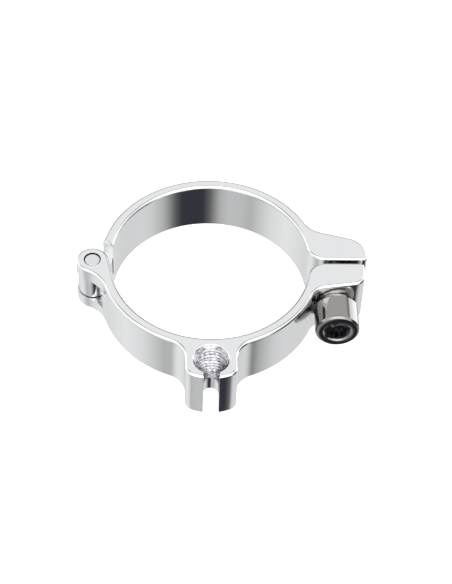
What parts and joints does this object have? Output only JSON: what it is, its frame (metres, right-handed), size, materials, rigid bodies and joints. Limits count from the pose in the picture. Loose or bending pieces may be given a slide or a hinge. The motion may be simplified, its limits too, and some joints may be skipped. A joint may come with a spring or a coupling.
{
  "type": "hinged tube clamp with cable stop",
  "caption": "Hinged two-piece tube clamp with a slotted, threaded cable-adjuster boss, a pressed hinge pin and a clamp bolt across its ears.",
  "frame": {"origin": "centre of the clamp's bore at mid-height", "axes": "+Z along the tube, towards the threaded hole's mouth; +X towards the clamp bolt; the hinge pin is on -X and the boss on -Y"},
  "size_m": [0.0515, 0.0454, 0.0102],
  "materials": {
    "front_band": "polished and clear anodised",
    "rear_band": "polished and clear anodised",
    "hinge_pin": "ground stainless steel",
    "clamp_bolt": "turned stainless steel",
    "bolt_washer": "plain stainless steel"
  },
  "bodies": {
    "front": {"front_band": "front_band", "hinge_pin": "hinge_pin"},
    "rear": {"rear_band": "rear_band"},
    "washer": {"bolt_washer": "bolt_washer"},
    "bolt": {"clamp_bolt": "clamp_bolt"}
  },
  "joints": [
    {"name": "rear_swing", "type": "hinge", "parent": "front", "child": "rear", "pos_m": [-0.02075, 0, 0], "axis": [0, 0, 1], "range_deg": [-0.9, 150]},
    {"name": "washer_slide", "type": "slide", "parent": "front", "child": "washer", "axis": [0, -1, 0], "range_m": [0, 0.007]},
    {"name": "bolt_spin", "type": "hinge", "parent": "washer", "child": "bolt", "pos_m": [0.0222, 0, 0], "axis": [0, -1, 0], "range_deg": [0, 3150]}
  ],
  "couplings": [
    {"joint": "bolt_spin", "follows": "washer_slide", "rad_per_m": 7854}
  ]
}
